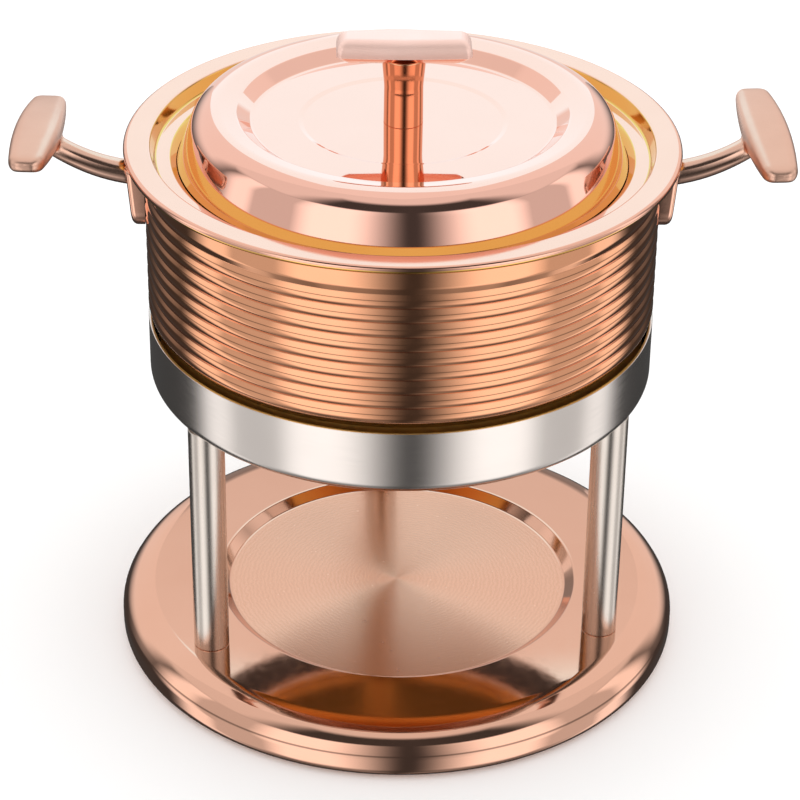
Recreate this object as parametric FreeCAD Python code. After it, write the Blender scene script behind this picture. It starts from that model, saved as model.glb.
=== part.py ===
import FreeCAD, Part
import math
import os

# Soup kettle on a three-legged stand. Millimetres, +Z up, the origin on the
# table in the middle of the base. The handles lie along X and the front is -Y.

# Clearances
rest_gap = 0.3          # between pieces that lift apart, where one rests on the other
fit_gap = 0.05          # round plugs in their tubes and behind the handles' feet
screw_gap = 0.15        # round screws in the pieces that they clamp

# Kettle: the outer vessel with the ribbed wall
kettle_radius = 93.0    # over the ribs
kettle_sheet = 0.7
rib_count = 9
rib_pitch = 5.53
rib_depth = 1.3         # before the crests are rounded
rib_round = 2.4
rib_valley_round = 0.4
band_height = 13.5      # smooth wall from the top rib to the rim
rim_lip = 3.0           # rim turned outwards
rim_roll = 1.2
neck_step = 3.4         # the neck drops into the ring
neck_showing = 3.7      # neck seen between the ring and the bottom rib
neck_roll = 10.0        # round of the bottom corner

# Pan: the inner vessel that hangs on the kettle's rim
pan_sheet = 0.7
pan_overhang = 7.0      # flange past the ribs
pan_curl = 1.5          # radius of the rolled edge of the flange
pan_wall_gap = 1.0      # between the drop wall and the kettle
pan_drop = 5.2          # flange down to the shelf
pan_drop_run = 1.8      # slope of the drop wall
shelf_width = 5.3
shelf_roll = 1.2
seat_drop = 4.4         # shelf down to the lid's ledge
seat_run = 5.0
ledge_width = 4.0
water_depth = 8.3       # under the pan's floor
pan_floor_roll = 14.0

# Lid: the spun shell with a sunk top
lid_sheet = 0.8
lid_inset = 2.6         # from the shelf down the sloped seat to the edge of the lid
skirt_height = 21.3     # up to the corner under the shoulder's round
skirt_run = 7.8
shoulder_roll = 10.0
crest_run = 13.5
crest_fall = 2.7
sink_run = 5.4          # slope down to the sunk top
sink_depth = 4.2
sink_roll = 2.5
centre_radius = 35.6    # shallow round in the middle of the top
centre_step = 0.6
centre_run = 1.8

# Knob on the lid
post_height = 25.2
post_foot_radius = 7.2
post_top_radius = 8.0
post_edge = 0.6
bar_length = 47.8
bar_height = 8.0
bar_mid_depth = 14.4
bar_end_depth = 11.2
bar_round = 0.8         # corner round as a share of the half height
knob_screw_radius = 2.5
knob_head_radius = 4.5
knob_head_height = 2.6
knob_washer_radius = 6.5
knob_washer_height = 1.0
bar_cover = 3.0         # bar left above the screw

# Side handles
foot_top_gap = 5.2      # pan's rolled edge down to the top of the bracket
arm_radius = 4.5
arm_flare = 6.2         # radius where the arm runs into the grip
handle_reach = 37.3     # ribs out to the middle of the grip
handle_rise = 15.3
arm_sag = 2.6           # bow of the arm below a straight line
grip_length = 64.0
grip_mid_width = 16.6
grip_end_width = 11.4
grip_mid_height = 10.4
grip_end_height = 5.2
grip_round = 0.86       # corner round as a share of the half height
left_grip_turn = -3.0   # degrees about the arm, as the two handles were set
right_grip_turn = 4.0
foot_depth = 6.4        # bracket from the ribs out to the arm's root
foot_width = 18.0
foot_above = 5.6        # bracket above the middle of the root
foot_below = 19.6
foot_top_round = 3.0
foot_bottom_round = 8.0
foot_screw_rise = 9.1   # screws above the bottom of the bracket
foot_screw_spread = 9.0
foot_screw_radius = 2.0
foot_cover = 2.0        # bracket left past the ends of the screws
foot_head_radius = 3.5
foot_head_height = 2.0

# Stand
ring_wall_gap = 2.3     # between the kettle's neck and the ring
ring_sheet = 1.2
ring_height = 25.0
ring_roll = 4.8
seat_head_gap = 1.0     # kettle's seat above the heads of the ring's screws
seat_lip_inset = 15.0   # ring's leg circle in to the lip
seat_lip_roll = 2.0
leg_radius = 6.6
leg_wall = 1.2
leg_length = 94.2
leg_inset = 8.2         # ring's outside to the leg's middle
leg_turn = 3.5          # degrees that the three legs are turned about Z
leg_count = 3
plug_length = 14.0
stand_screw_radius = 2.0
stand_screw_bite = 9.0
stand_head_radius = 3.5
stand_head_height = 2.0
stand_washer_radius = 3.35
stand_washer_height = 0.8

# Base plate
base_sheet = 1.2
base_height = 18.8
base_flat = 6.5         # outside the legs, up to the corner of the shoulder
base_slope_run = 9.3    # shoulder between the flat and the rolled edge
base_slope_fall = 7.8
base_slope_roll = 18.0
base_edge_roll = 6.0
base_foot_roll = 5.5
base_foot_width = 6.0
well_margin = 19.5      # leg's middle in to the well's floor
well_depth = 3.2
well_run = 4.0
well_roll = 1.6

# Places that follow from the sizes above
neck_radius = kettle_radius - neck_step
ring_radius = neck_radius + ring_wall_gap + ring_sheet
leg_circle = ring_radius - leg_inset
lip_radius = leg_circle - seat_lip_inset
ring_bottom = base_height + leg_length
ring_top = ring_bottom + ring_height
seat_top = ring_bottom + ring_sheet + stand_washer_height + stand_head_height + seat_head_gap
kettle_bottom = seat_top + rest_gap
rib_bottom = ring_top + neck_showing
rib_top = rib_bottom + rib_count * rib_pitch
kettle_rim = rib_top + band_height
rib_slope = math.atan2(rib_depth, rib_pitch / 2)
rib_apex = kettle_radius + rib_round * (1 / math.cos(rib_slope) - 1)
rib_valley = rib_apex - rib_depth
pan_top = kettle_rim + rest_gap + pan_sheet
drop_radius = kettle_radius - kettle_sheet - pan_wall_gap - pan_sheet
shelf_outer = drop_radius - pan_drop_run
shelf_inner = shelf_outer - shelf_width
shelf_height = pan_top - pan_drop
ledge_outer = shelf_inner - seat_run
ledge_height = shelf_height - seat_drop
pan_radius = ledge_outer - ledge_width
pan_floor = kettle_bottom + kettle_sheet + water_depth + pan_sheet
lid_radius = shelf_inner - lid_inset
lid_bottom = shelf_height - lid_inset * seat_drop / seat_run + rest_gap
shoulder_height = lid_bottom + skirt_height
lid_floor = shoulder_height - crest_fall - sink_depth
lid_top = lid_floor - centre_step
post_top = lid_top + post_height
root_height = pan_top - 2 * pan_curl - foot_top_gap - foot_above
root_reach = kettle_radius + foot_depth

UP = FreeCAD.Vector(0, 0, 1)
OUT = FreeCAD.Vector(1, 0, 0)


def vec(x, y, z):
    return FreeCAD.Vector(x, y, z)


def turn_at(before, here, after):
    """Signed turn of a path at a point, anticlockwise positive."""
    first = math.atan2(here[1] - before[1], here[0] - before[0])
    second = math.atan2(after[1] - here[1], after[0] - here[0])
    return math.remainder(second - first, 2 * math.pi)


def limited(path):
    """The path of (radius, height, round), each round held within the runs it joins."""
    out = [path[0]]
    for before, here, after in zip(path, path[1:], path[2:]):
        bend = math.tan(abs(turn_at(before, here, after)) / 2)
        room = 0.49 * min(math.dist(before[:2], here[:2]), math.dist(here[:2], after[:2]))
        out.append((here[0], here[1], min(here[2], room / max(bend, 1e-6))))
    out.append(path[-1])
    return out


def beside(path, distance):
    """The path shifted to its left by a distance, its rounds kept concentric."""
    normals = []
    for a, b in zip(path, path[1:]):
        length = math.dist(a[:2], b[:2])
        normals.append((-(b[1] - a[1]) / length, (b[0] - a[0]) / length))
    out = []
    for k, (r, z, radius) in enumerate(path):
        first = normals[max(k - 1, 0)]
        second = normals[min(k, len(normals) - 1)]
        share = distance / (1 + first[0] * second[0] + first[1] * second[1])
        if 0 < k < len(path) - 1:
            bend = turn_at(path[k - 1], path[k], path[k + 1])
            radius = max(radius - math.copysign(distance, bend), 0)
        out.append((r + share * (first[0] + second[0]), z + share * (first[1] + second[1]), radius))
    return out


def line(a, b):
    return Part.LineSegment(vec(a[0], 0, a[1]), vec(b[0], 0, b[1])).toShape()


def path_edges(path):
    """Straight runs of a path in the XZ plane, joined by tangent arcs."""
    edges = []
    last = vec(path[0][0], 0, path[0][1])
    for before, here, after in zip(path, path[1:], path[2:]):
        corner = vec(here[0], 0, here[1])
        if here[2] > 0.01:
            back = (vec(before[0], 0, before[1]) - corner).normalize()
            ahead = (vec(after[0], 0, after[1]) - corner).normalize()
            half = abs(turn_at(before, here, after)) / 2
            reach = here[2] * math.tan(half)
            start = corner + back * reach
            end = corner + ahead * reach
            middle = corner + (back + ahead).normalize() * (here[2] / math.cos(half) - here[2])
            edges.append(Part.LineSegment(last, start).toShape())
            edges.append(Part.Arc(start, middle, end).toShape())
            last = end
        else:
            edges.append(Part.LineSegment(last, corner).toShape())
            last = corner
    edges.append(Part.LineSegment(last, vec(path[-1][0], 0, path[-1][1])).toShape())
    return edges


def spun(edges):
    """A closed profile turned once about the axis of the kettle."""
    face = Part.Face(Part.Wire(Part.__sortEdges__(edges)))
    return face.revolve(vec(0, 0, 0), UP, 360)


def spun_sheet(path, sheet):
    """Sheet metal spun to a path, thickened to the path's left."""
    one = limited(path)
    other = beside(one, sheet)
    return spun(path_edges(one) + path_edges(other) + [line(one[0], other[0]), line(one[-1], other[-1])])


def rod(radius, start, direction, length):
    return Part.makeCylinder(radius, length, start, direction)


def collar(outer, bore, start, direction, length):
    return rod(outer, start, direction, length).cut(rod(bore, start, direction, length))


def screw(shank_radius, head_radius, head_height, seat, direction, length):
    """A screw whose head is behind its seat and whose shank runs ahead of it."""
    head = rod(head_radius, seat - direction * head_height, direction, head_height)
    return head.fuse(rod(shank_radius, seat, direction, length)).removeSplitter()


def section_wire(middle, across, half_width, half_height, corner):
    """A rounded rectangle about a point, with its width across and its height up."""
    w = half_width - corner
    h = half_height - corner
    slant = corner * math.sqrt(0.5)
    arcs = []
    for side, rise in [(1, 1), (-1, 1), (-1, -1), (1, -1)]:
        core = middle + across * (side * w) + UP * (rise * h)
        ends = [core + across * (side * corner), core + UP * (rise * corner)]
        if side * rise < 0:
            ends.reverse()
        arcs.append((ends[0], core + (across * side + UP * rise) * slant, ends[1]))
    edges = []
    for k, (start, bulge, end) in enumerate(arcs):
        edges.append(Part.Arc(start, bulge, end).toShape())
        edges.append(Part.LineSegment(end, arcs[(k + 1) % 4][0]).toShape())
    return Part.Wire(edges)


def cast_bar(middle, along, across, length, mid_size, end_size, corner_share):
    """A barrel-shaped cast bar with flat ends, fullest in the middle."""
    wires = []
    for place in (-1.0, -0.55, 0.0, 0.55, 1.0):
        full = 1 - place * place
        width = end_size[0] + (mid_size[0] - end_size[0]) * full
        height = end_size[1] + (mid_size[1] - end_size[1]) * full
        corner = corner_share * min(width, height) / 2
        centre = middle + along * (place * length / 2)
        wires.append(section_wire(centre, across, width / 2, height / 2, corner))
    return Part.makeLoft(wires, True, False)


def leg_places():
    """Middles of the legs, the rear one first, then left and right."""
    places = []
    for k in range(leg_count):
        angle = math.radians(90 + leg_turn + k * 360 / leg_count)
        places.append((leg_circle * math.cos(angle), leg_circle * math.sin(angle)))
    return places


def base_plate():
    """Spun dish: a brushed well, a flat for the legs and a rolled edge to stand on."""
    corner = leg_circle + leg_radius + base_flat
    edge = corner + base_slope_run
    well = leg_circle - well_margin
    floor = base_height - well_depth
    half_turn = math.atan2(base_slope_fall, base_slope_run) / 2
    shoulder = min(base_slope_roll, base_flat / math.tan(half_turn))
    plate = spun_sheet([
        (edge - base_foot_roll - base_foot_width, 0, 0),
        (edge, 0, base_foot_roll),
        (edge, base_height - base_slope_fall, base_edge_roll),
        (corner, base_height, shoulder),
        (well + well_run, base_height, well_roll),
        (well, floor, well_roll),
        (0, floor, 0)], base_sheet)
    hole = stand_screw_radius + screw_gap
    for x, y in leg_places():
        plate = plate.cut(rod(hole, vec(x, y, base_height - 2 * base_sheet), UP, 3 * base_sheet))
    return plate


def support_ring():
    """Band with a turned-in floor on the legs and a lip that carries the kettle."""
    roll = min(ring_roll, leg_inset - stand_washer_radius)
    ring = spun_sheet([
        (lip_radius, seat_top, 0),
        (lip_radius, ring_bottom, seat_lip_roll),
        (ring_radius, ring_bottom, roll),
        (ring_radius, ring_top, 0)], ring_sheet)
    hole = stand_screw_radius + screw_gap
    for x, y in leg_places():
        ring = ring.cut(rod(hole, vec(x, y, ring_bottom - ring_sheet), UP, 3 * ring_sheet))
    return ring


def legs():
    """Tubes from the base to the ring, and the threaded plugs in their ends."""
    tubes = []
    plugs = []
    bore = leg_radius - leg_wall
    for x, y in leg_places():
        tubes.append(collar(leg_radius, bore, vec(x, y, base_height), UP, leg_length))
        for start in (base_height, ring_bottom - plug_length):
            plugs.append(collar(bore - fit_gap, stand_screw_radius + screw_gap,
                                vec(x, y, start), UP, plug_length))
    return tubes, plugs


def stand_fixings(plate_face, away, sheet):
    """Screws and washers that clamp one sheet to the legs, heads on its plate_face side."""
    screws = []
    washers = []
    thick = stand_washer_height
    for x, y in leg_places():
        face = vec(x, y, plate_face)
        washers.append(collar(stand_washer_radius, stand_screw_radius + screw_gap, face, away, thick))
        screws.append(screw(stand_screw_radius, stand_head_radius, stand_head_height,
                            face + away * thick, away * -1, thick + sheet + stand_screw_bite))
    return screws, washers


def foot_screw_places():
    """Places (Y, Z) of the screws behind a handle's foot."""
    height = root_height - foot_below + foot_screw_rise
    return [(-foot_screw_spread / 2, height), (foot_screw_spread / 2, height)]


def foot_screw_seat():
    """Distance from the axis to the heads, which clear the curved wall behind a foot."""
    inside = rib_valley - kettle_sheet / math.cos(rib_slope) - fit_gap
    edge = foot_screw_spread / 2 + foot_head_radius
    return math.sqrt(inside ** 2 - edge ** 2)


def foot_screw_length():
    return root_reach - foot_cover - foot_screw_seat()


def kettle_body():
    """Vessel with a neck that drops into the ring, rolled ribs and a turned-out rim."""
    path = [
        (0, kettle_bottom, 0),
        (neck_radius, kettle_bottom, neck_roll),
        (neck_radius, rib_bottom - rib_pitch / 2, rim_roll),
        (rib_valley, rib_bottom, rib_valley_round)]
    for k in range(rib_count):
        path.append((rib_apex, rib_bottom + (k + 0.5) * rib_pitch, rib_round))
        path.append((rib_valley, rib_bottom + (k + 1) * rib_pitch, rib_valley_round))
    path += [
        (kettle_radius, rib_top + rib_pitch / 2, rib_round),
        (kettle_radius, kettle_rim - kettle_sheet, rim_roll),
        (kettle_radius + rim_lip, kettle_rim - kettle_sheet, 0)]
    body = spun_sheet(path, kettle_sheet)
    for y, z in foot_screw_places():
        for side in (1, -1):
            start = vec(side * foot_screw_seat(), y, z)
            body = body.cut(rod(foot_screw_radius + screw_gap, start, OUT * side, foot_screw_length()))
    return body


def inner_pan():
    """Vessel with a stepped mouth and a flange whose edge is rolled under."""
    flange = kettle_radius + pan_overhang
    top = limited([
        (flange - pan_curl, pan_top, 0),
        (drop_radius, pan_top, shelf_roll),
        (shelf_outer, shelf_height, shelf_roll),
        (shelf_inner, shelf_height, shelf_roll),
        (ledge_outer, ledge_height, shelf_roll),
        (pan_radius, ledge_height, shelf_roll),
        (pan_radius, pan_floor, pan_floor_roll),
        (0, pan_floor, 0)])
    under = beside(top, pan_sheet)
    under[0] = (flange - 2 * pan_curl, pan_top - pan_sheet, 0)
    mid = pan_top - pan_curl
    slant = pan_curl * math.sqrt(0.5)
    curl = Part.Arc(vec(flange - pan_curl, 0, pan_top), vec(flange - pan_curl + slant, 0, mid - slant),
                    vec(flange - 2 * pan_curl, 0, mid)).toShape()
    return spun(path_edges(top) + path_edges(under)
                + [curl, line((flange - 2 * pan_curl, mid), under[0]), line(top[-1], under[-1])])


def handle_foot():
    """Cast foot, hollowed behind to sit on the ribs, with two blind screw holes."""
    height = foot_above + foot_below
    block = Part.makeBox(root_reach, foot_width, height,
                         vec(0, -foot_width / 2, root_height - foot_below))
    for level, roll in ((block.BoundBox.ZMin, foot_bottom_round), (block.BoundBox.ZMax, foot_top_round)):
        edges = []
        for edge in block.Edges:
            box = edge.BoundBox
            if box.XLength > foot_depth and abs(box.ZMin - level) < 0.01:
                edges.append(edge)
        block = block.makeFillet(min(roll, 0.45 * foot_width), edges)
    block = block.cut(rod(kettle_radius + fit_gap, vec(0, 0, 0), UP, 2 * kettle_rim))
    for y, z in foot_screw_places():
        block = block.cut(rod(foot_screw_radius + screw_gap, vec(0, y, z), OUT,
                              root_reach - foot_cover + screw_gap))
    return block


def handle(turn):
    """Cast arm that rises from its foot and flares into a barrel-shaped grip."""
    root = vec(root_reach, 0, root_height)
    middle = vec(kettle_radius + handle_reach, 0, root_height + handle_rise)
    chord = middle - root
    low = root + chord * 0.5 + vec(chord.z, 0, -chord.x).normalize() * arm_sag
    curve = Part.Arc(root, low, middle)
    wires = []
    for share in (0, 0.3, 0.6, 0.8, 1):
        place = curve.FirstParameter + share * (curve.LastParameter - curve.FirstParameter)
        flare = max(share - 0.6, 0) / 0.4
        radius = arm_radius + (arm_flare - arm_radius) * flare ** 2
        tangent = OUT if share == 0 else curve.tangent(place)[0]
        ring = Part.Circle(curve.value(place), tangent, radius)
        wires.append(Part.Wire(ring.toShape()))
    arm = Part.makeLoft(wires, True, False)
    grip = cast_bar(middle, vec(0, 1, 0), OUT, grip_length, (grip_mid_width, grip_mid_height),
                    (grip_end_width, grip_end_height), grip_round)
    grip.rotate(middle, OUT, turn)
    return arm.fuse(grip)


def handle_screws():
    """Screws from inside the kettle through its wall into a foot."""
    screws = []
    for y, z in foot_screw_places():
        screws.append(screw(foot_screw_radius, foot_head_radius, foot_head_height,
                            vec(foot_screw_seat(), y, z), OUT, foot_screw_length()))
    return screws


def lid_shell():
    """Spun shell: sloped skirt with its edge on the pan's seat, round shoulder, sunk top."""
    shoulder = lid_radius - skirt_run
    sink = shoulder - crest_run
    shell = spun_sheet([
        (lid_radius, lid_bottom, 0),
        (shoulder, shoulder_height, shoulder_roll),
        (sink, shoulder_height - crest_fall, sink_roll),
        (sink - sink_run, lid_floor, sink_roll),
        (centre_radius + centre_run, lid_floor, centre_run),
        (centre_radius, lid_top, centre_run),
        (0, lid_top, 0)], lid_sheet)
    return shell.cut(rod(knob_screw_radius + screw_gap, vec(0, 0, lid_top - 2 * lid_sheet), UP,
                         3 * lid_sheet))


def knob():
    """Post and cross bar, clamped to the lid by one long screw with a washer."""
    bore = knob_screw_radius + screw_gap
    post = spun(path_edges(limited([
        (bore, lid_top, 0),
        (post_foot_radius, lid_top, 0),
        (post_top_radius, post_top, post_edge),
        (bore, post_top, 0),
        (bore, lid_top, 0)])))
    bar = cast_bar(vec(0, 0, post_top + bar_height / 2), OUT, vec(0, 1, 0), bar_length,
                   (bar_mid_depth, bar_height), (bar_end_depth, bar_height), bar_round)
    thread = bar_height - bar_cover
    bar = bar.cut(rod(bore, vec(0, 0, post_top), UP, thread + screw_gap))
    under = vec(0, 0, lid_top - lid_sheet)
    down = UP * -1
    ring = collar(knob_washer_radius, bore, under, down, knob_washer_height)
    length = knob_washer_height + lid_sheet + post_height + thread
    bolt = screw(knob_screw_radius, knob_head_radius, knob_head_height,
                 under + down * knob_washer_height, UP, length)
    return post, bar, bolt, ring


def mirrored(shape):
    return shape.mirror(vec(0, 0, 0), OUT)


def write(name, shape):
    """One STEP file for a piece, or for a group of like pieces."""
    shape.exportStep(os.path.join("parts", name + ".step"))


os.makedirs("parts", exist_ok=True)

write("base_plate", base_plate())
write("support_ring", support_ring())
leg_tubes, leg_plugs = legs()
for leg_name, tube in zip(("rear_leg", "left_leg", "right_leg"), leg_tubes):
    write(leg_name, tube)
write("leg_plugs", Part.makeCompound(leg_plugs))
for group, face_height, away_side, clamped in (
        ("base", base_height - base_sheet, UP * -1, base_sheet),
        ("ring", ring_bottom + ring_sheet, UP, ring_sheet)):
    group_screws, group_washers = stand_fixings(face_height, away_side, clamped)
    write(group + "_screws", Part.makeCompound(group_screws))
    write(group + "_washers", Part.makeCompound(group_washers))

write("kettle_body", kettle_body())
write("right_handle_bracket", handle_foot())
write("left_handle_bracket", mirrored(handle_foot()))
write("right_handle", handle(right_grip_turn))
write("left_handle", mirrored(handle(left_grip_turn)))
write("right_handle_screws", Part.makeCompound(handle_screws()))
write("left_handle_screws", Part.makeCompound([mirrored(s) for s in handle_screws()]))

write("inner_pan", inner_pan())

write("lid_shell", lid_shell())
for knob_name, knob_piece in zip(("knob_post", "knob_bar", "knob_screw", "knob_washer"), knob()):
    write(knob_name, knob_piece)
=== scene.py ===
import bmesh
import bpy
import math
from mathutils import Matrix, Vector


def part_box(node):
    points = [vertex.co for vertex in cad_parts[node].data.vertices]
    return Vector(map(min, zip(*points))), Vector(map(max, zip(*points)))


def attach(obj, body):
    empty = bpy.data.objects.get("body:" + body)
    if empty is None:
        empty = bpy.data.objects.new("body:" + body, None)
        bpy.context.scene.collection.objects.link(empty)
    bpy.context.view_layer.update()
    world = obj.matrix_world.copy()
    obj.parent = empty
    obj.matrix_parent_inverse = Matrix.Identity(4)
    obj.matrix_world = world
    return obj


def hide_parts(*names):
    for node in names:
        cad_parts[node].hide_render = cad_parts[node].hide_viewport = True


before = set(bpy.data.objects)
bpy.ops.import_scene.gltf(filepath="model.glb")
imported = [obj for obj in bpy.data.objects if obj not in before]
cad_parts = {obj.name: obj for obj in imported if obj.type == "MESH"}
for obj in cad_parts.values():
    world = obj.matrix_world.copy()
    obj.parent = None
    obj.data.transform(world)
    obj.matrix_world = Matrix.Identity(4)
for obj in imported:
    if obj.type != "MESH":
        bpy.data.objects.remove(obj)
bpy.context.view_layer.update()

# Base plate: one steel disc spun into a shallow dish with a sunk well and a fat rolled edge.
# It is plated in rose gold and polished, and the floor of the well is brushed in circles.
# The legs stand on its flat and are screwed to it from below.
MM = 0.001
plate_low, plate_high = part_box("base_plate")
plate_edge = plate_high.x
plate_top = plate_high.z
plate_sheet = 1.2 * MM
plate_burr = 0.3 * MM
plate_foot = plate_edge - 11.5 * MM
plate_foot_round = 5 * MM
roll_low = plate_top - 8.4 * MM
roll_low_round = 6 * MM
roll_corner = (plate_edge - 3.4 * MM, plate_top - 2.6 * MM)
roll_corner_round = 9 * MM
plate_shoulder = plate_edge - 11 * MM
plate_shoulder_round = 14 * MM
well_radius = 65.4 * MM
well_rim = well_radius + 4 * MM
well_floor = plate_top - 3.2 * MM
well_bend = 1.6 * MM
# Least upward share of a normal on the floor of the well.
floor_upward = 0.99


def new_piece(name, bm, materials, body, nodes, sharp_deg=38):
    """A finished mesh as a piece that rides on a body and stands for CAD nodes."""
    mesh = bpy.data.meshes.new(name)
    bm.to_mesh(mesh)
    bm.free()
    mesh.shade_smooth()
    mesh.set_sharp_from_angle(angle=math.radians(sharp_deg))
    for material in materials:
        mesh.materials.append(material)
    piece = bpy.data.objects.new(name, mesh)
    bpy.context.scene.collection.objects.link(piece)
    piece.modifiers.new("even_normals", "WEIGHTED_NORMAL").keep_sharp = True
    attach(piece, body)
    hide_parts(*nodes)
    return piece


def rounded_wire(bm, path, closed=False, arc_deg=7):
    """Edges along a path of (x, y, z, round), each corner bevelled to its round."""
    corners = [bm.verts.new(place[:3]) for place in path]
    pairs = list(zip(corners, corners[1:]))
    if closed:
        pairs.append((corners[-1], corners[0]))
    for pair in pairs:
        bm.edges.new(pair)
    for corner, place in zip(corners, path):
        if place[3]:
            one, other = [edge.other_vert(corner).co - corner.co for edge in corner.link_edges]
            turn = math.pi - one.angle(other)
            bmesh.ops.bevel(bm, geom=[corner], offset=place[3] * math.tan(turn / 2), profile=0.5,
                            segments=max(2, round(math.degrees(turn) / arc_deg)),
                            affect="VERTICES", material=-1)


def soften(bm, width, least_deg=60):
    """Breaks the sharp edges of a mesh by a small bevel."""
    sharp = [e for e in bm.edges if e.is_manifold and e.calc_face_angle() > math.radians(least_deg)]
    bmesh.ops.bevel(bm, geom=sharp, offset=width, segments=2, profile=0.5, affect="EDGES", material=-1)


def spun(path, wall=0.0, edge=0.0, about=(0, 0), steps=160):
    """A path of (radius, height, round) spun about an upright axis. With a wall it is a sheet
    whose thickness lies left of the path, and without one the path is a closed outline."""
    bm = bmesh.new()
    rounded_wire(bm, [(r, 0, z, bend) for r, z, bend in path], closed=not wall)
    bmesh.ops.spin(bm, geom=bm.verts[:] + bm.edges[:], cent=(0, 0, 0), axis=(0, 0, 1),
                   angle=2 * math.pi, steps=steps, use_merge=True)
    bmesh.ops.remove_doubles(bm, verts=bm.verts, dist=1e-6)
    bmesh.ops.recalc_face_normals(bm, faces=bm.faces)
    if wall:
        first = Vector((path[0][0], 0, path[0][1]))
        ahead = Vector((path[1][0], 0, path[1][1])) - first
        outward = Vector((ahead.z, 0, -ahead.x))
        near = min(bm.faces, key=lambda f: (f.calc_center_median() - first - ahead / 2).length)
        if near.normal.dot(outward) < 0:
            bmesh.ops.reverse_faces(bm, faces=bm.faces)
        bmesh.ops.solidify(bm, geom=bm.faces[:], thickness=wall)
    if edge:
        soften(bm, edge)
    bmesh.ops.translate(bm, verts=bm.verts, vec=(about[0], about[1], 0))
    return bm


def linear(colour):
    """An sRGB hex colour as linear red, green, blue and alpha."""
    parts = [int(colour[k:k + 2], 16) / 255 for k in (1, 3, 5)]
    return [p / 12.92 if p <= 0.04045 else ((p + 0.055) / 1.055) ** 2.4 for p in parts] + [1.0]


def add_node(tree, kind, inputs, **settings):
    """One shader node with its settings, its inputs either set or linked."""
    made = tree.nodes.new(kind)
    for name, value in settings.items():
        setattr(made, name, value)
    for name, value in inputs.items():
        if isinstance(value, bpy.types.NodeSocket):
            tree.links.new(value, made.inputs[name])
        else:
            made.inputs[name].default_value = value
    return made


def metal(name, light, deep, rough, grain_mm, blotch_mm=30, spread=0.35, grain=(1, 1, 1),
          aniso=0.0, radial=False):
    """Plated or bare metal: two close tints in soft blotches, and a fine grain in the gloss.
    Radial metal has its brush lines in circles about the upright axis."""
    material = bpy.data.materials.new(name)
    material.use_nodes = True
    tree = material.node_tree
    tree.nodes.clear()
    place = add_node(tree, "ShaderNodeTexCoord", {}).outputs["Object"]
    blotch = add_node(tree, "ShaderNodeTexNoise", {"Vector": place, "Scale": 1 / (blotch_mm * MM)})
    # Sockets 0, 6 and 7 are the share and the two colours of the mix.
    tint = add_node(tree, "ShaderNodeMix", {0: blotch.outputs[0], 6: linear(light), 7: linear(deep)},
                    data_type="RGBA")
    stretched = add_node(tree, "ShaderNodeMapping", {"Vector": place, "Scale": grain})
    fine = add_node(tree, "ShaderNodeTexNoise", {"Vector": stretched.outputs[0],
                                                 "Scale": 1 / (grain_mm * MM), "Detail": 3})
    gloss = add_node(tree, "ShaderNodeMapRange", {"Value": fine.outputs[0], "From Min": 0.25,
                                                  "From Max": 0.75, "To Min": rough * (1 - spread),
                                                  "To Max": rough * (1 + spread)})
    shader = add_node(tree, "ShaderNodeBsdfPrincipled", {"Base Color": tint.outputs[2], "Metallic": 1.0,
                                                         "Roughness": gloss.outputs[0],
                                                         "Anisotropic": aniso})
    if radial:
        level = add_node(tree, "ShaderNodeVectorMath", {0: place, 1: (1, 1, 0)}, operation="MULTIPLY")
        spoke = add_node(tree, "ShaderNodeVectorMath", {0: level.outputs[0]}, operation="NORMALIZE")
        tree.links.new(spoke.outputs[0], shader.inputs["Tangent"])
    add_node(tree, "ShaderNodeOutputMaterial", {"Surface": shader.outputs[0]})
    return material


# Polished plate on the roll and the flat: a clear mirror, a little browner than the lid.
base_polish = metal("rose_gold_plate_base_polished", "#EBB89F", "#E5AF95", 0.07, grain_mm=3)
# Brushed plate in the well: each light is drawn out across the lines into soft rays.
rose_brushed = metal("rose_gold_plate_brushed_in_circles", "#EEBBA0", "#EAB599", 0.26, grain_mm=2,
                     spread=0.06, aniso=0.85, radial=True)

# The brush lines are drawn 1.6 mm apart, coarser than real ones, so that they show.
# At a scale of 1 the rings of a wave texture go through 20 radians in a metre.
brush_pitch = 1.6 * MM
ring_radians = 20
tree = rose_brushed.node_tree
place = tree.nodes["Texture Coordinate"].outputs["Object"]
lines = add_node(tree, "ShaderNodeTexWave", {
    "Vector": place, "Scale": 2 * math.pi / (ring_radians * brush_pitch), "Distortion": 6.0,
    "Detail": 3.0, "Detail Scale": 2.0}, wave_type="RINGS", rings_direction="Z")
tree.links.new(lines.outputs["Fac"], tree.nodes["Mix"].inputs[0])

plate = spun([
    (plate_foot, plate_low.z, 0),
    (plate_edge, plate_low.z, plate_foot_round),
    (plate_edge, roll_low, roll_low_round),
    (*roll_corner, roll_corner_round),
    (plate_shoulder, plate_top, plate_shoulder_round),
    (well_rim, plate_top, well_bend),
    (well_radius, well_floor, well_bend),
    (0, well_floor, 0)], wall=plate_sheet, edge=plate_burr)
for face in plate.faces:
    middle = face.calc_center_median()
    in_well = middle.xy.length < well_radius and middle.z > well_floor - plate_sheet / 2
    if in_well and face.normal.z > floor_upward:
        face.material_index = 1
new_piece("base_plate_dish", plate, [base_polish, rose_brushed], "stand",
          ["base_plate"])


# Legs: three lengths of drawn steel tube, polished and left unplated.
# Each stands between the base plate and the ring, on a threaded plug at either end.
leg_wall = 1.2 * MM
leg_edge = 0.45 * MM
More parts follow.
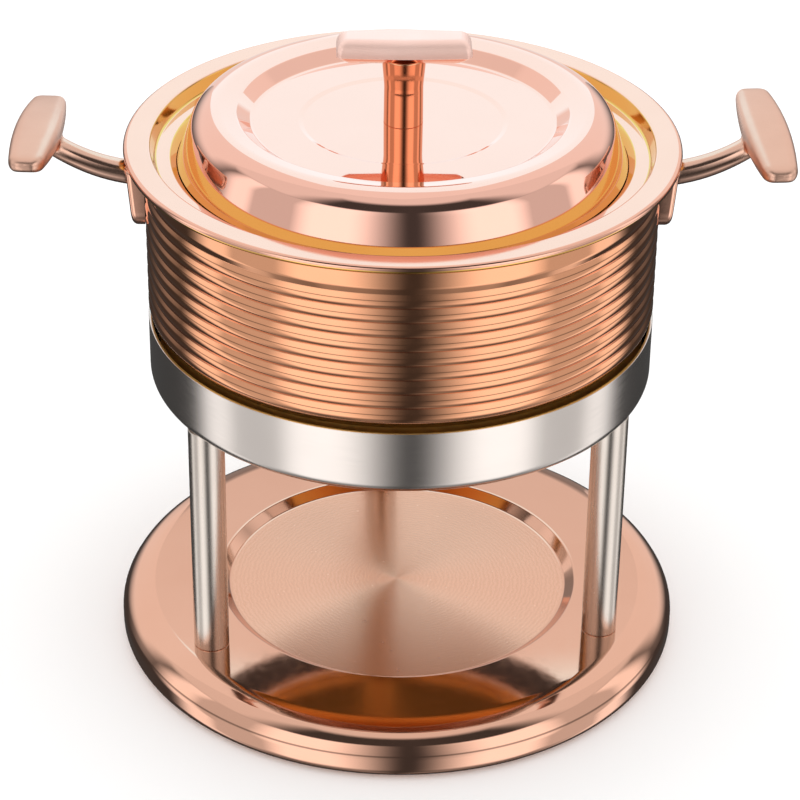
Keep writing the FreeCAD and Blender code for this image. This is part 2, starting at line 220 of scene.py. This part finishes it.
# Polished tube: fine lines along its length blur the mirror into soft upright bands.
steel_polish = metal("stainless_tube_polished", "#D9CFC6", "#CDC2B8", 0.26, grain_mm=0.8,
                     grain=(1, 1, 0.08), spread=0.1)
for side in ("left", "right", "rear"):
    leg_low, leg_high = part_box(side + "_leg")
    middle = (leg_low + leg_high) / 2
    radius = (leg_high.x - leg_low.x) / 2
    tube = spun([
        (radius - leg_wall, leg_low.z, 0),
        (radius, leg_low.z, leg_edge),
        (radius, leg_high.z, leg_edge),
        (radius - leg_wall, leg_high.z, 0)], about=middle.xy, steps=72)
    new_piece(side + "_leg_tube", tube, [steel_polish], "stand", [side + "_leg"])


# Plugs, screws and washers: turned and cold-headed steel with a plain grey finish.
# They are hidden in the legs, under the base plate, in the ring, inside the kettle and under the lid.
# Plain turned steel looks grey and a little dull beside the polished pieces.
turned_steel = metal("turned_steel_plain", "#B9B6B2", "#A39F9B", 0.34, grain_mm=0.5, blotch_mm=4)
for node in ("leg_plugs", "base_screws", "base_washers", "ring_screws", "ring_washers",
             "left_handle_screws", "right_handle_screws", "knob_screw", "knob_washer"):
    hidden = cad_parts[node]
    hidden.data.materials.clear()
    hidden.data.materials.append(turned_steel)


# Support ring: a band of stainless sheet with a turned-in floor, brushed round its outside.
# Its floor is screwed down on the legs, and the lip round the flame hole carries the kettle.
ring_low, ring_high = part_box("support_ring")
ring_radius = ring_high.x
ring_sheet = 1.2 * MM
ring_burr = 0.3 * MM
ring_round = 4.8 * MM
seat_radius = ring_radius - 23.2 * MM
seat_height = ring_low.z + 5 * MM
seat_round = 2 * MM
# Brushed band: lines that run round it keep the reflections but take their sharpness away.
steel_brushed = metal("stainless_band_brushed", "#E3DAD4", "#DAD0C9", 0.2, grain_mm=0.7,
                      grain=(0.06, 0.06, 1), spread=0.12)
ring = spun([
    (seat_radius, seat_height, 0),
    (seat_radius, ring_low.z, seat_round),
    (ring_radius, ring_low.z, ring_round),
    (ring_radius, ring_high.z, 0)], wall=ring_sheet, edge=ring_burr)
new_piece("support_ring_band", ring, [steel_brushed], "stand", ["support_ring"])


# Kettle body: the outer vessel, spun from sheet, with nine ribs rolled into its wall.
# Its neck drops into the ring and its rim is turned out under the pan's flange.
# The ribs and the band above them are polished, the neck and the bottom are left satin; the neck and the
# bottom are painted a yellow gold, a painted reflection of the light that bounces under the kettle.
kettle_low, kettle_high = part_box("kettle_body")
kettle_rim = kettle_high.z
kettle_rim_turn = 3 * MM
kettle_radius = kettle_high.x - kettle_rim_turn
kettle_sheet = 0.7 * MM
kettle_burr = 0.15 * MM
kettle_bend = 1.2 * MM
kettle_bottom_round = 10 * MM
neck_radius = kettle_radius - 3.4 * MM
rib_count = 9
rib_pitch = 5.53 * MM
rib_depth = 1.3 * MM
rib_round = 3.6 * MM
valley_round = 0.4 * MM
rib_top = kettle_rim - 13.5 * MM
rib_bottom = rib_top - rib_count * rib_pitch
rib_slope = math.atan2(rib_depth, rib_pitch / 2)
rib_apex = kettle_radius + rib_round * (1 / math.cos(rib_slope) - 1)
rib_valley = rib_apex - rib_depth
satin_below = rib_bottom - 1 * MM
# Polished copper-toned plate: a mirror that each rib squeezes into thin light and dark lines.
kettle_gold = metal("copper_gold_plate_mirror_polished", "#EFAD86", "#E8A37B", 0.08, grain_mm=3)
# Satin, painted a yellow gold: shows the lights only as a warm glow, and its yellow is a painted
# reflection of light bouncing between the bottom, the ring and the base plate.
bottom_painted_bounce_gold = metal("rose_gold_satin_painted_gold_reflection_bottom", "#FFC870", "#F8BD62", 0.34, grain_mm=2, spread=0.1)
wall_path = [
    (0, kettle_low.z, 0),
    (neck_radius, kettle_low.z, kettle_bottom_round),
    (neck_radius, rib_bottom - rib_pitch / 2, kettle_bend),
    (rib_valley, rib_bottom, valley_round)]
for k in range(rib_count):
    wall_path.append((rib_apex, rib_bottom + (k + 0.5) * rib_pitch, rib_round))
    wall_path.append((rib_valley, rib_bottom + (k + 1) * rib_pitch, valley_round))
wall_path += [
    (kettle_radius, rib_top + rib_pitch / 2, rib_round),
    (kettle_radius, kettle_rim - kettle_sheet, kettle_bend),
    (kettle_high.x, kettle_rim - kettle_sheet, 0)]
kettle = spun(wall_path, wall=kettle_sheet, edge=kettle_burr)
# Below the ribs the wall takes the satin and the painted gold reflection.
for face in kettle.faces:
    if face.calc_center_median().z < satin_below:
        face.material_index = 1
new_piece("kettle_ribbed_body", kettle, [kettle_gold, bottom_painted_bounce_gold], "kettle",
          ["kettle_body"])


# Handle brackets: small cast feet with a round bottom, plated and polished.
# Each is hollowed behind to sit on the ribs and is held by screws from inside the kettle.
bracket_fit = 0.05 * MM
bracket_low_corner = 8 * MM
bracket_high_corner = 3 * MM
bracket_round = 2 * MM
bracket_taper = 2 * MM
bracket_front_from = kettle_radius + 2 * MM
# Polished casting: a mirror with a slight haze, because cast metal is never quite smooth.
bracket_polish = metal("rose_gold_plate_cast_polished", "#F2BCA4", "#E9AF95", 0.14, grain_mm=2)
for side, sign in (("left", -1), ("right", 1)):
    low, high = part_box(side + "_handle_bracket")
    half = high.y
    reach = max(abs(low.x), abs(high.x))
    bm = bmesh.new()
    rounded_wire(bm, [
        (0, -half, low.z, bracket_low_corner),
        (0, half, low.z, bracket_low_corner),
        (0, half, high.z, bracket_high_corner),
        (0, -half, high.z, bracket_high_corner)], closed=True, arc_deg=12)
    bmesh.ops.contextual_create(bm, geom=bm.edges[:])
    front = bmesh.ops.extrude_face_region(bm, geom=bm.faces[:])["geom"]
    for vert in bm.verts:
        vert.co.x = math.sqrt((kettle_radius + bracket_fit) ** 2 - vert.co.y ** 2)
    for vert in front:
        if isinstance(vert, bmesh.types.BMVert):
            down = (high.z - vert.co.z) / (high.z - low.z)
            vert.co.x = reach - bracket_taper * down
    rim_edges = [e for e in bm.edges if all(v.co.x > bracket_front_from for v in e.verts)]
    bmesh.ops.bevel(bm, geom=rim_edges, offset=bracket_round, segments=4, profile=0.5, affect="EDGES",
                    material=-1)
    bmesh.ops.scale(bm, verts=bm.verts, vec=(sign, 1, 1))
    bmesh.ops.recalc_face_normals(bm, faces=bm.faces)
    new_piece(side + "_bracket_foot", bm, [bracket_polish], "kettle",
              [side + "_handle_bracket"])


# Side handles: one casting each, a round arm that rises and swells into a barrel-shaped grip.
# They are plated in rose gold, polished on the arm and bead blasted to a satin on the grip.
# The root of the arm is brazed to the front of its bracket.
arm_root = Vector((kettle_radius + 5.4 * MM, 0, kettle_rim - 12.8 * MM))
arm_radius = 4.5 * MM
arm_flare = 6.4 * MM
arm_flare_start = 0.5
arm_sag = 2.6 * MM
arm_stations = 16
grip_middle = Vector((kettle_radius + 37.3 * MM, 0, arm_root.z + 15.3 * MM))
grip_length = 64 * MM
grip_mid = (16.6 * MM, 10.4 * MM)
grip_end = (11.4 * MM, 5.2 * MM)
grip_corner = 0.86
grip_splay = 3
grip_end_start = 0.88
grip_end_draw = 0.75
grip_half = (0.2, 0.4, 0.6, 0.75, 0.88, 0.94, 0.97, 0.99, 1)
grip_places = [-place for place in reversed(grip_half)] + [0] + list(grip_half)
cast_voxel = 0.55 * MM
cast_fillet_passes = 14
blast_start = 118 * MM
blast_full = 124 * MM
arm_gloss = 0.35
# Blasted plate: no mirror is left, only broad soft lights. The arm keeps most of its polish.
cast_rose = metal("rose_gold_plate_polished_arm_satin_grip", "#EABEA8", "#DFB09A", 0.36, grain_mm=0.8,
                  blotch_mm=14, spread=0.12)
# The polish of the arm fades into the satin where the grip begins.
tree = cast_rose.node_tree
shader = tree.nodes["Principled BSDF"]
place = tree.nodes["Texture Coordinate"].outputs["Object"]
aside = add_node(tree, "ShaderNodeSeparateXYZ", {0: place}).outputs["X"]
aside = add_node(tree, "ShaderNodeMath", {0: aside}, operation="ABSOLUTE").outputs[0]
blast = add_node(tree, "ShaderNodeMapRange", {"Value": aside, "From Min": blast_start,
                                              "From Max": blast_full, "To Min": arm_gloss})
satin = shader.inputs["Roughness"].links[0].from_socket
faded = add_node(tree, "ShaderNodeMath", {0: satin, 1: blast.outputs[0]}, operation="MULTIPLY")
tree.links.new(faded.outputs[0], shader.inputs["Roughness"])


def grip_size(place):
    """Width and height of the grip at a place from -1 to 1 along it, with rounded ends."""
    full = 1 - place * place
    past = max(abs(place) - grip_end_start, 0) / (1 - grip_end_start)
    end_round = math.sqrt(1 - grip_end_draw * past * past)
    return [(end + (mid - end) * full) * end_round for mid, end in zip(grip_mid, grip_end)]


# Neither grip is quite level: the left one rises to the front and the right one to the rear.
for side, sign, tip in (("left", -1, -3), ("right", 1, 4)):
    bm = bmesh.new()
    half_w, half_h = [size / 2 for size in grip_size(-1)]
    rounded_wire(bm, [(a * half_w, -grip_length / 2, b * half_h, grip_corner * half_h)
                      for a, b in ((1, 1), (-1, 1), (-1, -1), (1, -1))], closed=True, arc_deg=15)
    face = bmesh.ops.contextual_create(bm, geom=bm.edges[:])["faces"][0]
    for before, place in zip(grip_places, grip_places[1:]):
        face = bmesh.ops.extrude_discrete_faces(bm, faces=[face])["faces"][0]
        was, now = grip_size(before), grip_size(place)
        bmesh.ops.scale(bm, verts=face.verts, vec=(now[0] / was[0], 1, now[1] / was[1]))
        bmesh.ops.translate(bm, verts=face.verts, vec=(0, (place - before) * grip_length / 2, 0))
    bmesh.ops.rotate(bm, verts=bm.verts, cent=(0, 0, 0),
                     matrix=Matrix.Rotation(math.radians(grip_splay), 3, "Z")
                     @ Matrix.Rotation(math.radians(tip), 3, "X"))
    bmesh.ops.translate(bm, verts=bm.verts, vec=grip_middle)
    chord = grip_middle - arm_root
    dip = Vector((chord.z, 0, -chord.x)).normalized() * arm_sag
    arm = bmesh.ops.create_circle(bm, cap_ends=True, segments=32, radius=arm_radius)["verts"]
    bmesh.ops.rotate(bm, verts=arm, cent=(0, 0, 0), matrix=Matrix.Rotation(math.pi / 2, 3, "Y"))
    bmesh.ops.translate(bm, verts=arm, vec=arm_root)
    face = arm[0].link_faces[0]
    here, width = arm_root.copy(), arm_radius
    for k in range(1, arm_stations + 1):
        share = k / arm_stations
        swell = (max(share - arm_flare_start, 0) / (1 - arm_flare_start)) ** 2
        face = bmesh.ops.extrude_discrete_faces(bm, faces=[face])["faces"][0]
        there = arm_root + chord * share + dip * (4 * share * (1 - share))
        wide = arm_radius + (arm_flare - arm_radius) * swell
        bmesh.ops.translate(bm, verts=face.verts, vec=there - here)
        bmesh.ops.scale(bm, verts=face.verts, vec=(1, wide / width, 1), space=Matrix.Translation(-there))
        here, width = there, wide
    bmesh.ops.holes_fill(bm, edges=[e for e in bm.edges if e.is_boundary])
    bmesh.ops.scale(bm, verts=bm.verts, vec=(sign, 1, 1))
    bmesh.ops.recalc_face_normals(bm, faces=bm.faces)
    handle = new_piece(side + "_handle_casting", bm, [cast_rose], "kettle",
                       [side + "_handle"])
    # One skin over arm and grip, smoothed so that a fillet runs round the joint.
    handle.modifiers.clear()
    skin = handle.modifiers.new("cast_skin", "REMESH")
    skin.mode = "VOXEL"
    skin.voxel_size = cast_voxel
    skin.use_smooth_shade = True
    ease = handle.modifiers.new("cast_fillets", "SMOOTH")
    ease.factor = 0.5
    ease.iterations = cast_fillet_passes


# Inner pan: the vessel that holds the soup, spun with a stepped mouth and a rolled flange.
# It hangs by the flange on the kettle's rim, and the slope below its shelf carries the lid.
# The plating is rose gold all through; the flats show it, and the walls of the mouth are painted a
# deeper gold, a painted reflection of the light that bounces between them.
pan_low, pan_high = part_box("inner_pan")
pan_edge = pan_high.x
pan_top = pan_high.z
pan_sheet = 0.7 * MM
pan_burr = 0.15 * MM
pan_bend = 1.2 * MM
pan_curl = 1.5 * MM
# A curl of two full quarter rounds would leave no edge between them.
curl_round = 0.98 * pan_curl
flange_dip = 0.3 * MM
pan_wall_gap = 1 * MM
drop_radius = kettle_radius - kettle_sheet - pan_wall_gap - pan_sheet
shelf_outer = drop_radius - 1.8 * MM
shelf_inner = shelf_outer - 5.3 * MM
shelf_height = pan_top - 5.2 * MM
ledge_outer = shelf_inner - 5 * MM
ledge_height = shelf_height - 4.4 * MM
pan_radius = ledge_outer - 4 * MM
pan_floor = pan_low.z + pan_sheet
pan_floor_round = 14 * MM
# Least upward share of a normal on the flats.
flat_upward = 0.95
# Polished, painted yellow gold: a clear mirror that turns what it shows a deep warm yellow, as painted
# reflection of the light that bounces inside the pan.
pan_painted_reflection_gold = metal("rose_gold_mirror_painted_gold_reflection", "#E8B766", "#E1AC57", 0.06, grain_mm=3)
# Polished rose gold: a clear mirror with a pale pink cast.
rose_polish = metal("rose_gold_plate_mirror_polished", "#F5BDA6", "#F0B69E", 0.06, grain_mm=3)
pan = spun([
    (pan_edge - 2 * pan_curl, pan_top - 2 * pan_curl, 0),
    (pan_edge, pan_top - 2 * pan_curl, curl_round),
    (pan_edge, pan_top, curl_round),
    (drop_radius, pan_top - flange_dip, pan_bend),
    (shelf_outer, shelf_height, pan_bend),
    (shelf_inner, shelf_height, pan_bend),
    (ledge_outer, ledge_height, pan_bend),
    (pan_radius, ledge_height, pan_bend),
    (pan_radius, pan_floor, pan_floor_round),
    (0, pan_floor, 0)], wall=pan_sheet, edge=pan_burr)
# Only the flange top and the up-facing shelf keep the rose gold; the walls, the ledge, the floor and the
# underside of the curl take the painted gold reflection.
for face in pan.faces:
    middle = face.calc_center_median()
    on_flange = middle.xy.length > drop_radius and middle.z > pan_top - pan_curl
    on_shelf = middle.xy.length > shelf_inner and face.normal.z > flat_upward
    if on_flange or on_shelf:
        face.material_index = 1
new_piece("inner_pan_vessel", pan, [pan_painted_reflection_gold, rose_polish], "pan", ["inner_pan"])


# Lid shell: spun from one sheet with a sloped skirt, a round shoulder and a sunk flat top.
# It is plated in rose gold and polished, and its cut edge rests on the pan's slope.
lid_low, lid_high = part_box("lid_shell")
lid_sheet = 0.8 * MM
lid_burr = 0.15 * MM
lid_edge = lid_low.z + 0.27 * MM
skirt_radius = lid_high.x
shoulder = skirt_radius - 7.8 * MM
shoulder_height = lid_edge + 21.3 * MM
shoulder_round = 10 * MM
sink = shoulder - 13.5 * MM
sink_height = shoulder_height - 2.7 * MM
sink_run = 5.4 * MM
sink_bend = 2.5 * MM
lid_floor = sink_height - 4.2 * MM
centre_radius = 35.6 * MM
centre_bend = 1.8 * MM
lid_top = lid_floor - 0.6 * MM
# The best polish on the kettle: a sharp mirror with a pale pink cast.
lid_polish = metal("rose_gold_plate_mirror_lid", "#F7C1AE", "#F4BDA9", 0.03, grain_mm=5)
lid = spun([
    (skirt_radius, lid_edge, 0),
    (shoulder, shoulder_height, shoulder_round),
    (sink, sink_height, sink_bend),
    (sink - sink_run, lid_floor, sink_bend),
    (centre_radius + centre_bend, lid_floor, centre_bend),
    (centre_radius, lid_top, centre_bend),
    (0, lid_top, 0)], wall=lid_sheet, edge=lid_burr)
new_piece("lid_spun_shell", lid, [lid_polish], "lid", ["lid_shell"])


# Knob: a turned post with a cast cross bar, both plated.
# The post is polished, the bar is satin with a crowned top and a hull-shaped underside.
# One long screw from under the lid holds the two.
post_low, post_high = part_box("knob_post")
post_bore = 2.65 * MM
post_foot = 7.1 * MM
post_foot_round = 0.2 * MM
post_waist = 7 * MM
post_waist_height = post_low.z + 14 * MM
post_sweep = 20 * MM
post_top_round = 0.6 * MM
post = spun([
    (post_bore, post_low.z, 0),
    (post_foot, post_low.z, post_foot_round),
    (post_waist, post_waist_height, post_sweep),
    (post_high.x, post_high.z, post_top_round),
    (post_bore, post_high.z, 0)], steps=96)
new_piece("knob_turned_post", post, [kettle_gold], "lid", ["knob_post"])

bar_low, bar_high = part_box("knob_bar")
bar_half = bar_high.x
bar_deep = bar_high.y + 1.2 * MM
bar_thin = bar_high.y - 0.2 * MM
bar_corner = 2.2 * MM
bar_side_round = 60 * MM
bar_bottom = bar_low.z - 1 * MM
hull_steps = ((0.5 * MM, 0.7 * MM), (1.1 * MM, 1 * MM), (1.2 * MM, 1.6 * MM))
bar_hull = sum(drop for drop, inset in hull_steps)
belt_height = bar_bottom + bar_hull
bar_crown = 5.4 * MM
bar_crown_inset = 5 * MM
bar_belt = bar_high.z - belt_height - bar_crown
crown_steps = 12
crown_sweep = math.radians(80)
# The hull's normals point down by more than this share.
hull_upward = -0.2
# Satin plate: bead blasting scatters light almost as a matt surface does, so it looks pale.
satin_rose = metal("rose_gold_plate_satin", "#FAD6CA", "#F4CCBE", 0.42, grain_mm=0.8, blotch_mm=14,
                   spread=0.12)
satin_rose.node_tree.nodes["Principled BSDF"].inputs["Metallic"].default_value = 0.5


def grow(bm, face, rise, inset):
    """Extrudes a level face up or down and draws its outline in by the inset."""
    face = bmesh.ops.extrude_discrete_faces(bm, faces=[face])["faces"][0]
    reach = max(abs(v.co.x) for v in face.verts)
    deep = max(abs(v.co.y) for v in face.verts)
    bmesh.ops.scale(bm, verts=face.verts, vec=(1 - inset / reach, 1 - inset / deep, 1))
    bmesh.ops.translate(bm, verts=face.verts, vec=(0, 0, rise))
    return face


bm = bmesh.new()
rounded_wire(bm, [
    (-bar_half, -bar_thin, belt_height, bar_corner),
    (0, -bar_deep, belt_height, bar_side_round),
    (bar_half, -bar_thin, belt_height, bar_corner),
    (bar_half, bar_thin, belt_height, bar_corner),
    (0, bar_deep, belt_height, bar_side_round),
    (-bar_half, bar_thin, belt_height, bar_corner)], closed=True)
belt = bmesh.ops.contextual_create(bm, geom=bm.edges[:])["faces"][0]
under = bmesh.ops.duplicate(bm, geom=[belt])["geom"]
top = grow(bm, belt, bar_belt, 0)
for k in range(1, crown_steps + 1):
    turn, before = (crown_sweep * j / crown_steps for j in (k, k - 1))
    top = grow(bm, top, bar_crown * (math.sin(turn) - math.sin(before)),
               bar_crown_inset * (math.cos(before) - math.cos(turn)))
hull = [f for f in under if isinstance(f, bmesh.types.BMFace)][0]
for drop, inset in hull_steps:
    hull = grow(bm, hull, -drop, inset)
bmesh.ops.remove_doubles(bm, verts=bm.verts, dist=1e-6)
bmesh.ops.recalc_face_normals(bm, faces=bm.faces)
for face in bm.faces:
    if face.normal.z < hull_upward:
        face.material_index = 1
new_piece("knob_cross_bar", bm, [satin_rose, rose_polish], "lid", ["knob_bar"])


# Studio floor: a wide sheet of white paper, just under the foot of the base plate.
# It takes the shadow, and the polish does not see it.
floor_half = 6
floor_drop = 0.2 * MM
# White paper: matt, and so evenly lit that only the shadow shows.
floor_material = bpy.data.materials.new("studio_floor_white_paper")
floor_material.use_nodes = True
tree = floor_material.node_tree
tree.nodes.clear()
matte = add_node(tree, "ShaderNodeBsdfDiffuse", {"Color": linear("#FDFDFD")})
add_node(tree, "ShaderNodeOutputMaterial", {"Surface": matte.outputs[0]})
bm = bmesh.new()
bmesh.ops.create_grid(bm, x_segments=1, y_segments=1, size=floor_half)
bmesh.ops.translate(bm, verts=bm.verts, vec=(0, 0, -floor_drop))
floor_mesh = bpy.data.meshes.new("studio_floor")
bm.to_mesh(floor_mesh)
bm.free()
floor_mesh.materials.append(floor_material)
floor = bpy.data.objects.new("studio_floor", floor_mesh)
bpy.context.scene.collection.objects.link(floor)
floor.visible_glossy = False


# Studio surround: plain white behind the kettle and as the light on it. The polish sees a room
# in its place: white screens on both sides of a dark gap at the front, crossed by the dark edge
# of a table, with a white wall at the back and a white ceiling.
gap_bearing = 4
screen_top = (38, 32)
screen_foot = (-68, -40)
screen_foot_glow = 0.16
table_edge_glow = 0.3
wall_glow = 0.92
ceiling_glow = 0.82
room_glow = 0.06
white_seen = 1.0
white_light = 1.2
world = bpy.data.worlds.new("studio_surround")
bpy.context.scene.world = world
world.use_nodes = True
tree = world.node_tree
tree.nodes.clear()
way = add_node(tree, "ShaderNodeTexCoord", {}).outputs["Generated"]
parts = add_node(tree, "ShaderNodeSeparateXYZ", {0: way})
rise = add_node(tree, "ShaderNodeMath", {0: parts.outputs["Z"]}, operation="ARCSINE").outputs[0]
# Swing is the angle to either side of the gap, seen from above.
toward = add_node(tree, "ShaderNodeMath", {0: parts.outputs["Y"], 1: -1.0}, operation="MULTIPLY")
bearing = add_node(tree, "ShaderNodeMath", {0: parts.outputs["X"], 1: toward.outputs[0]},
                   operation="ARCTAN2")
bearing = add_node(tree, "ShaderNodeMath", {0: bearing.outputs[0], 1: math.radians(gap_bearing)},
                   operation="SUBTRACT")
swing = add_node(tree, "ShaderNodeMath", {0: bearing.outputs[0]}, operation="ABSOLUTE").outputs[0]


def panel(glow, *edges):
    """Brightness of a part of the room that fades across its soft edges. Each edge is a measure,
    the degrees where it is dim and where it is full, and the share that is left where it is dim."""
    for measure, dim_deg, full_deg, left in edges:
        fade = add_node(tree, "ShaderNodeMapRange", {
            "Value": measure, "From Min": math.radians(dim_deg), "From Max": math.radians(full_deg),
            "To Min": left}, interpolation_type="SMOOTHSTEP")
        glow = add_node(tree, "ShaderNodeMath", {0: glow, 1: fade.outputs[0]},
                        operation="MULTIPLY").outputs[0]
    return glow


# The front screens, the side screens, and the dimmer cloth that hangs between them: brightness,
# then the swing where each begins, is full, begins to fade and ends.
screens = 0.0
for glow, begins, full, fades, ends in ((1.4, 1, 34, 50, 74), (1.2, 78, 92, 98, 114),
                                        (0.65, 2, 26, 100, 116)):
    screen = panel(glow, (swing, begins, full, 0), (swing, ends, fades, 0))
    screens = add_node(tree, "ShaderNodeMath", {0: screens, 1: screen}, operation="MAXIMUM").outputs[0]
screens = panel(screens, (rise, *screen_top, 0), (rise, *screen_foot, screen_foot_glow))
above_table = panel(1.0, (rise, -7, -1, table_edge_glow))
below_table = panel(1.0, (rise, -9, -17, table_edge_glow))
table = add_node(tree, "ShaderNodeMath", {0: above_table, 1: below_table}, operation="MAXIMUM")
screens = add_node(tree, "ShaderNodeMath", {0: screens, 1: table.outputs[0]}, operation="MULTIPLY")
back_wall = panel(wall_glow, (swing, 104, 128, 0), (rise, -14, 16, 0))
front_ceiling = panel(ceiling_glow, (rise, 60, 72, 0))
side_ceiling = panel(ceiling_glow, (swing, 46, 78, 0), (rise, 24, 38, 0))
room = screens.outputs[0]
for part in (back_wall, front_ceiling, side_ceiling):
    room = add_node(tree, "ShaderNodeMath", {0: room, 1: part}, operation="MAXIMUM").outputs[0]
room = add_node(tree, "ShaderNodeMath", {0: room, 1: room_glow}, operation="ADD").outputs[0]
# Sockets 0, 2 and 3 are the share and the two numbers of the mix.
light_path = add_node(tree, "ShaderNodeLightPath", {})
white = add_node(tree, "ShaderNodeMix", {0: light_path.outputs["Is Camera Ray"], 2: white_light,
                                         3: white_seen}, data_type="FLOAT")
strength = add_node(tree, "ShaderNodeMix", {0: light_path.outputs["Is Glossy Ray"],
                                            2: white.outputs[0], 3: room}, data_type="FLOAT")
surround = add_node(tree, "ShaderNodeBackground", {"Color": linear("#FFFFFF"),
                                                   "Strength": strength.outputs[0]})
add_node(tree, "ShaderNodeOutputWorld", {"Surface": surround.outputs[0]})


# Studio backdrop: an upright lit card behind the kettle that only the polish sees.
# It is dim at the table and bright above the lid, where its light is a little cool.
card_width = 0.28
card_height = 0.8
card_back = 0.3
lift_height = 0.05
lift_full = 0.03
lift_end = 0.045
card_glow = ((0.08, "#FFFFFF", 0.3), (0.15, "#FFFFFF", 0.85), (0.275, "#FFFFFF", 0.95),
             (0.295, "#D3F2FF", 1.66))
# Lit cloth: an even glow that changes only with height.
card_material = bpy.data.materials.new("studio_backdrop_lit_cloth")
card_material.use_nodes = True
tree = card_material.node_tree
tree.nodes.clear()
spot = add_node(tree, "ShaderNodeTexCoord", {}).outputs["Object"]
spot = add_node(tree, "ShaderNodeSeparateXYZ", {0: spot})
across = add_node(tree, "ShaderNodeMath", {0: spot.outputs["X"]}, operation="ABSOLUTE")
# The bright part reaches lower in the middle.
lift = add_node(tree, "ShaderNodeMapRange", {"Value": across.outputs[0], "From Min": lift_end,
                                             "From Max": lift_full, "To Max": lift_height})
height = add_node(tree, "ShaderNodeMath", {0: spot.outputs["Z"], 1: lift.outputs[0]}, operation="ADD")
cloth = add_node(tree, "ShaderNodeValToRGB", {0: height.outputs[0]})
marks = cloth.color_ramp.elements
for at_height, colour, glow in card_glow:
    marks.new(at_height).color = [part * glow for part in linear(colour)]
# The two marks that every ramp starts with stand at its ends, and go.
marks.remove(marks[-1])
marks.remove(marks[0])
light = add_node(tree, "ShaderNodeEmission", {"Color": cloth.outputs[0]})
add_node(tree, "ShaderNodeOutputMaterial", {"Surface": light.outputs[0]})
bm = bmesh.new()
bmesh.ops.create_grid(bm, x_segments=1, y_segments=1, size=0.5)
bmesh.ops.scale(bm, verts=bm.verts, vec=(card_width, card_height, 1))
bmesh.ops.rotate(bm, verts=bm.verts, cent=(0, 0, 0), matrix=Matrix.Rotation(math.pi / 2, 3, "X"))
bmesh.ops.translate(bm, verts=bm.verts, vec=(0, card_back, card_height / 2))
card_mesh = bpy.data.meshes.new("studio_backdrop")
bm.to_mesh(card_mesh)
bm.free()
card_mesh.materials.append(card_material)
card = bpy.data.objects.new("studio_backdrop", card_mesh)
bpy.context.scene.collection.objects.link(card)
card.visible_camera = False
card.visible_diffuse = False
card.visible_shadow = False


# Camera: in front of the kettle and above it, looking down at it.
# The lens is long, so the circles of the rim, the ring and the base keep nearly the same shape.
camera_place = Vector((-23.7 * MM, -906.4 * MM, 631.2 * MM))
camera_down = math.radians(30.52)
camera_turn = math.radians(1.3)
camera_data = bpy.data.cameras.new("camera")
camera_data.sensor_width = 36
camera_data.lens = 125.3
camera = bpy.data.objects.new("camera", camera_data)
bpy.context.scene.collection.objects.link(camera)
camera.matrix_world = (Matrix.Translation(camera_place)
                       @ Matrix.Rotation(math.pi / 2 - camera_down, 4, "X")
                       @ Matrix.Rotation(-camera_turn, 4, "Y"))
bpy.context.scene.camera = camera
bpy.context.scene.view_settings.view_transform = "Standard"
